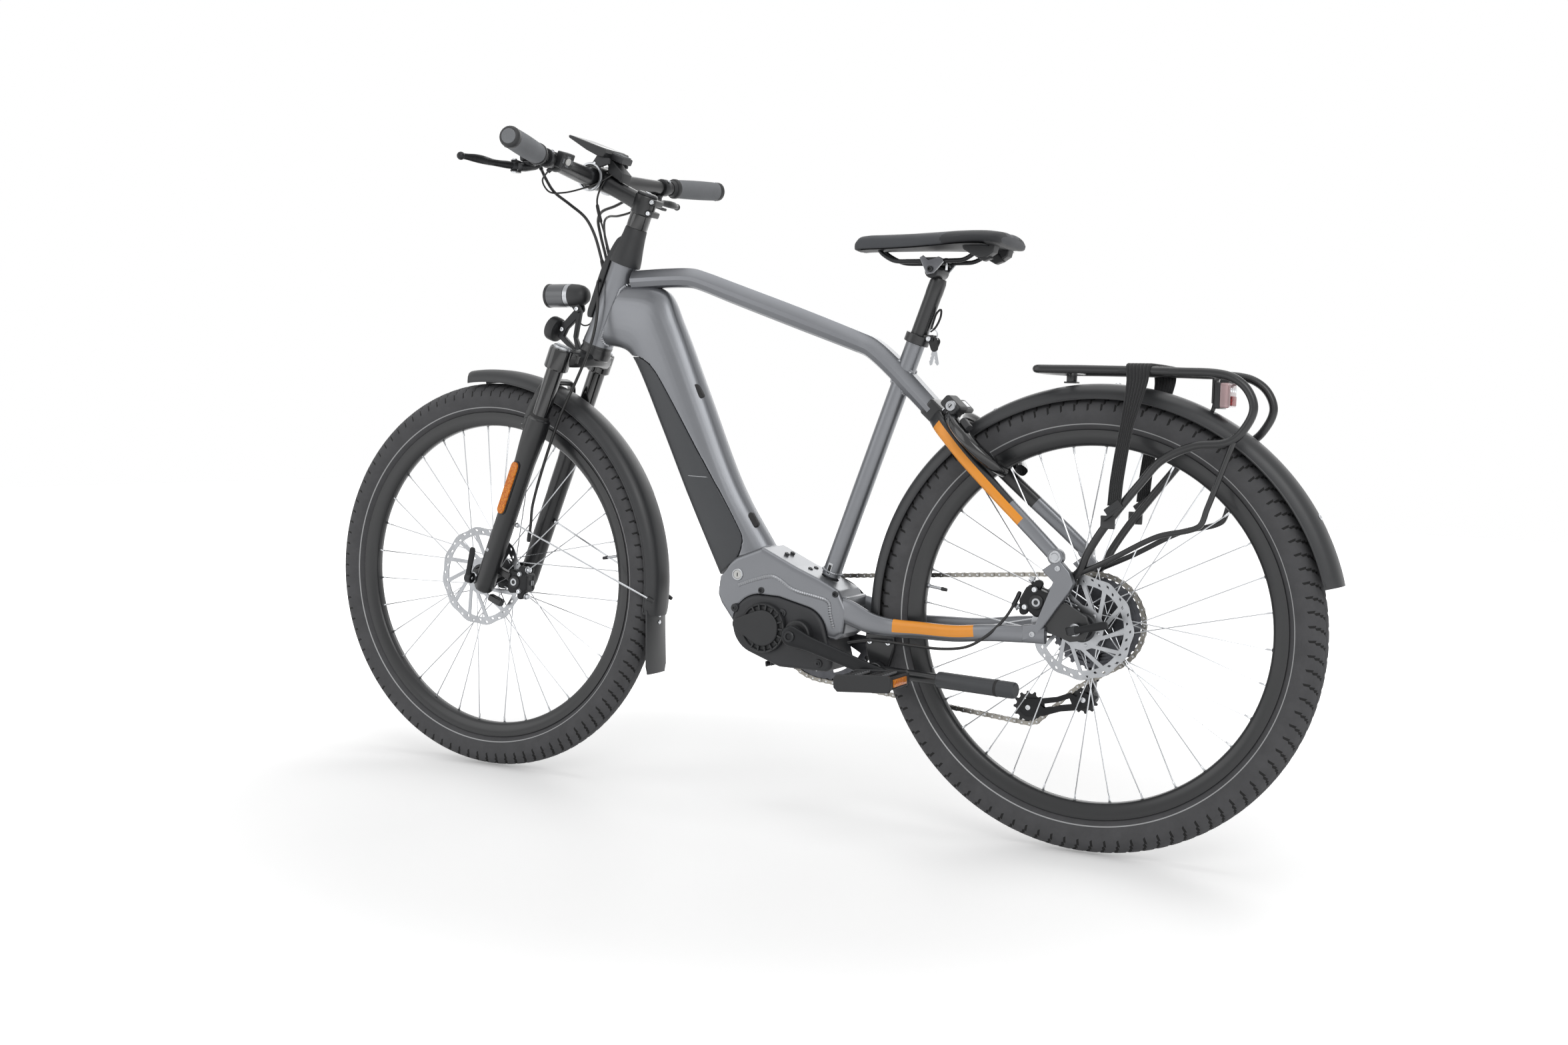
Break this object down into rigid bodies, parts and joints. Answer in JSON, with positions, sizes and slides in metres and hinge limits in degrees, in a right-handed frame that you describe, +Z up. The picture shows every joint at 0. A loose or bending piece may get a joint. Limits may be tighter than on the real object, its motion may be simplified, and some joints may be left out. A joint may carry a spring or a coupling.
{
  "type": "electric trekking bicycle",
  "caption": "Trekking bicycle with a crank motor, a battery in the down tube, a suspension fork, disc brakes, mudguards, a rear rack and a folded kickstand.",
  "frame": {"origin": "middle of the bicycle's footprint on the ground", "axes": "+X points ahead, +Y to the rider's left, +Z up"},
  "size_m": [1.8534, 0.677, 1.1384],
  "materials": {
    "battery_plastic": "satin",
    "black_alloy": "anodised black",
    "black_paint": "satin",
    "black_plastic": "matt",
    "chain_steel": "oiled",
    "frame_paint": "satin metallic",
    "grip_rubber": "textured",
    "lamp_alloy": "satin black",
    "lens": "clear",
    "motor_plastic": "fine grain",
    "rubber": "matt",
    "saddle_cover": "soft matt",
    "steel": "brushed",
    "tyre_rubber": "matt tread",
    "webbing": "woven"
  },
  "bodies": {
    "frame": {"head_tube": "frame_paint", "top_tube": "frame_paint", "down_tube": "frame_paint", "seat_tube": "frame_paint", "seat_stays": "frame_paint", "chain_stays": "frame_paint", "cable_cover": "black_plastic", "motor": "motor_plastic", "rear_mudguard": "black_plastic", "rack": "black_paint", "rear_light": "lens", "ring_lock_case": "black_plastic", "rear_caliper": "black_alloy", "derailleur_body": "black_alloy", "chain_upper": "chain_steel", "chain_lower": "chain_steel", "rear_axle": "steel", "luggage_strap": "webbing", "kickstand_bracket": "black_alloy"},
    "battery": {"battery": "battery_plastic"},
    "lock_shackle": {"ring_lock_shackle": "steel"},
    "kickstand": {"kickstand_leg": "black_alloy"},
    "seatpost": {"seatpost": "black_alloy"},
    "saddle": {"saddle": "saddle_cover"},
    "steerer": {"fork_crown": "black_alloy", "stem": "black_alloy", "handlebar": "black_alloy", "grip_left": "grip_rubber", "grip_right": "grip_rubber", "display": "black_plastic", "lamp_bracket_horn": "black_plastic", "brake_perch_left": "black_alloy", "brake_perch_right": "black_alloy", "remote": "black_plastic", "hose_left": "rubber", "hose_right": "rubber", "hose_front_brake": "rubber"},
    "headlamp": {"headlamp": "lamp_alloy"},
    "brake_lever_left": {"brake_lever_left": "black_alloy"},
    "brake_lever_right": {"brake_lever_right": "black_alloy"},
    "shift_trigger": {"shift_trigger": "black_plastic"},
    "remote_button": {"remote_button": "black_plastic"},
    "fork_lowers": {"fork_lowers": "black_paint", "front_caliper": "black_alloy", "front_mudguard": "black_plastic"},
    "front_quick_release": {"front_quick_release": "black_alloy"},
    "front_wheel": {"front_tyre": "tyre_rubber", "front_rim": "black_alloy", "front_hub_spokes": "steel"},
    "rear_wheel": {"rear_tyre": "tyre_rubber", "rear_rim": "black_alloy", "rear_hub_spokes": "steel"},
    "cassette": {"cassette": "chain_steel"},
    "rear_quick_release": {"rear_quick_release": "black_alloy"},
    "crankset": {"crankset": "black_alloy"},
    "pedal_left": {"pedal_left": "black_plastic"},
    "pedal_right": {"pedal_right": "black_plastic"},
    "derailleur_cage": {"derailleur_cage": "black_alloy"},
    "guide_pulley": {"guide_pulley": "black_plastic"},
    "tension_pulley": {"tension_pulley": "black_plastic"}
  },
  "joints": [
    {"name": "steering", "type": "hinge", "parent": "frame", "child": "steerer", "pos_m": [0.35926, 0, 0.773], "axis": [-0.3518, 0, 0.9361], "range_deg": [-60, 60], "deforming": ["hose_left", "hose_right", "hose_front_brake"]},
    {"name": "fork_travel", "type": "slide", "parent": "steerer", "child": "fork_lowers", "axis": [-0.3518, 0, 0.9361], "range_m": [0, 0.05], "stiffness_N_per_m": 12000, "deforming": ["hose_front_brake"]},
    {"name": "front_wheel_spin", "type": "hinge", "parent": "fork_lowers", "child": "front_wheel", "pos_m": [0.57487, 0, 0.352], "axis": [0, 1, 0], "continuous": true},
    {"name": "front_quick_release_fold", "type": "hinge", "parent": "fork_lowers", "child": "front_quick_release", "pos_m": [0.57487, 0.0753, 0.352], "axis": [-0.986, 0, -0.1668], "range_deg": [0, 110]},
    {"name": "rear_wheel_spin", "type": "hinge", "parent": "frame", "child": "rear_wheel", "pos_m": [-0.55773, 0, 0.352], "axis": [0, 1, 0], "continuous": true},
    {"name": "crank_spin", "type": "hinge", "parent": "frame", "child": "crankset", "pos_m": [-0.08273, 0, 0.302], "axis": [0, 1, 0], "continuous": true},
    {"name": "cassette_spin", "type": "hinge", "parent": "frame", "child": "cassette", "pos_m": [-0.55773, 0, 0.352], "axis": [0, 1, 0], "continuous": true},
    {"name": "pedal_left_spin", "type": "hinge", "parent": "crankset", "child": "pedal_left", "pos_m": [-0.25148, 0, 0.25201], "axis": [0, 1, 0], "continuous": true},
    {"name": "pedal_right_spin", "type": "hinge", "parent": "crankset", "child": "pedal_right", "pos_m": [0.08602, 0, 0.35199], "axis": [0, 1, 0], "continuous": true},
    {"name": "guide_pulley_spin", "type": "hinge", "parent": "derailleur_cage", "child": "guide_pulley", "pos_m": [-0.54373, -0.026, 0.231], "axis": [0, 1, 0], "continuous": true},
    {"name": "tension_pulley_spin", "type": "hinge", "parent": "derailleur_cage", "child": "tension_pulley", "pos_m": [-0.45473, -0.026, 0.21], "axis": [0, 1, 0], "continuous": true},
    {"name": "derailleur_cage_swing", "type": "hinge", "parent": "frame", "child": "derailleur_cage", "pos_m": [-0.54373, -0.026, 0.231], "axis": [0, 1, 0], "range_deg": [0, 40], "stiffness_Nm_per_rad": 0.5, "deforming": ["chain_lower"]},
    {"name": "brake_lever_left_pull", "type": "hinge", "parent": "steerer", "child": "brake_lever_left", "pos_m": [0.37952, 0.224, 1.05731], "axis": [-0.0536, 0, 0.9986], "range_deg": [0, 18], "stiffness_Nm_per_rad": 0.5, "springref_deg": -11.46},
    {"name": "brake_lever_right_pull", "type": "hinge", "parent": "steerer", "child": "brake_lever_right", "pos_m": [0.37952, -0.224, 1.05731], "axis": [-0.0536, 0, 0.9986], "range_deg": [-18, 0], "stiffness_Nm_per_rad": 0.5, "springref_deg": 11.46},
    {"name": "shift_trigger_press", "type": "hinge", "parent": "steerer", "child": "shift_trigger", "pos_m": [0.35827, -0.17, 1.04262], "axis": [-0.3518, 0, 0.9361], "range_deg": [-25, 0], "stiffness_Nm_per_rad": 0.05, "springref_deg": 11.46},
    {"name": "remote_button_press", "type": "slide", "parent": "steerer", "child": "remote_button", "axis": [0.9361, 0, 0.3518], "range_m": [0, 0.001], "stiffness_N_per_m": 300, "springref_m": -0.001},
    {"name": "headlamp_tilt", "type": "hinge", "parent": "steerer", "child": "headlamp", "pos_m": [0.39889, 0, 0.8381], "axis": [0, 1, 0], "range_deg": [-10, 15]},
    {"name": "seatpost_height", "type": "slide", "parent": "frame", "child": "seatpost", "axis": [-0.3404, 0, 0.9403], "range_m": [-0.06, 0.1]},
    {"name": "saddle_tilt", "type": "hinge", "parent": "seatpost", "child": "saddle", "pos_m": [-0.28386, 0, 0.8928], "axis": [0, 1, 0], "range_deg": [-5, 5]},
    {"name": "kickstand_swing", "type": "hinge", "parent": "frame", "child": "kickstand", "pos_m": [-0.22373, 0.054, 0.256], "axis": [0, -1, 0], "range_deg": [0, 95]},
    {"name": "ring_lock_close", "type": "hinge", "parent": "frame", "child": "lock_shackle", "pos_m": [-0.3801, 0, 0.62155], "axis": [-0.6749, 0, 0.7379], "range_deg": [0, 72], "stiffness_Nm_per_rad": 0.02},
    {"name": "battery_tip_out", "type": "hinge", "parent": "frame", "child": "battery", "pos_m": [0.28446, 0, 0.75641], "axis": [0, 1, 0], "range_deg": [-7, 0]},
    {"name": "rear_quick_release_fold", "type": "hinge", "parent": "frame", "child": "rear_quick_release", "pos_m": [-0.55773, 0.0928, 0.352], "axis": [-0.2419, 0, -0.9703], "range_deg": [0, 110]}
  ],
  "couplings": [
    {"joint": "cassette_spin", "follows": "crank_spin", "ratio": 1.1711},
    {"joint": "guide_pulley_spin", "follows": "crank_spin", "ratio": -4.0455},
    {"joint": "tension_pulley_spin", "follows": "crank_spin", "ratio": 3.4231}
  ]
}
